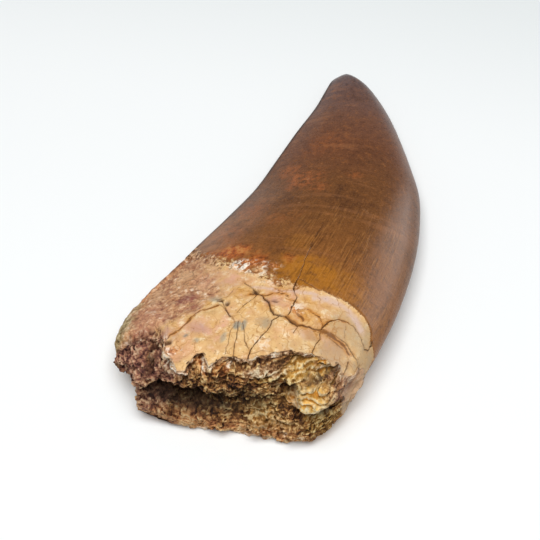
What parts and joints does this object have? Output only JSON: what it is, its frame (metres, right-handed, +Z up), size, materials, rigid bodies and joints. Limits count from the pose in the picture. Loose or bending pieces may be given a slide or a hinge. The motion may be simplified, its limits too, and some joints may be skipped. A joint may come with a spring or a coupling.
{
  "type": "fossil dinosaur tooth",
  "caption": "Broken fossil tooth of a large meat-eating dinosaur: a glossy brown curved crown on a cracked, crumbled root with an open hollow, lying on its side.",
  "frame": {"origin": "under the centre of the tooth's box, on the surface that the tooth lies on", "axes": "+Y from the broken root to the tip, +X towards the mesial (convex) edge, +Z up from the face that it rests on to its upper face"},
  "size_m": [0.0437, 0.0874, 0.0151],
  "materials": {
    "tooth": "satin-gloss red-brown to purple-brown enamel on the crown, matt cream, pink and tan root with dark cracks, and a crumbly dark brown and golden break"
  },
  "bodies": {
    "root": {"tooth": "tooth"}
  },
  "joints": []
}
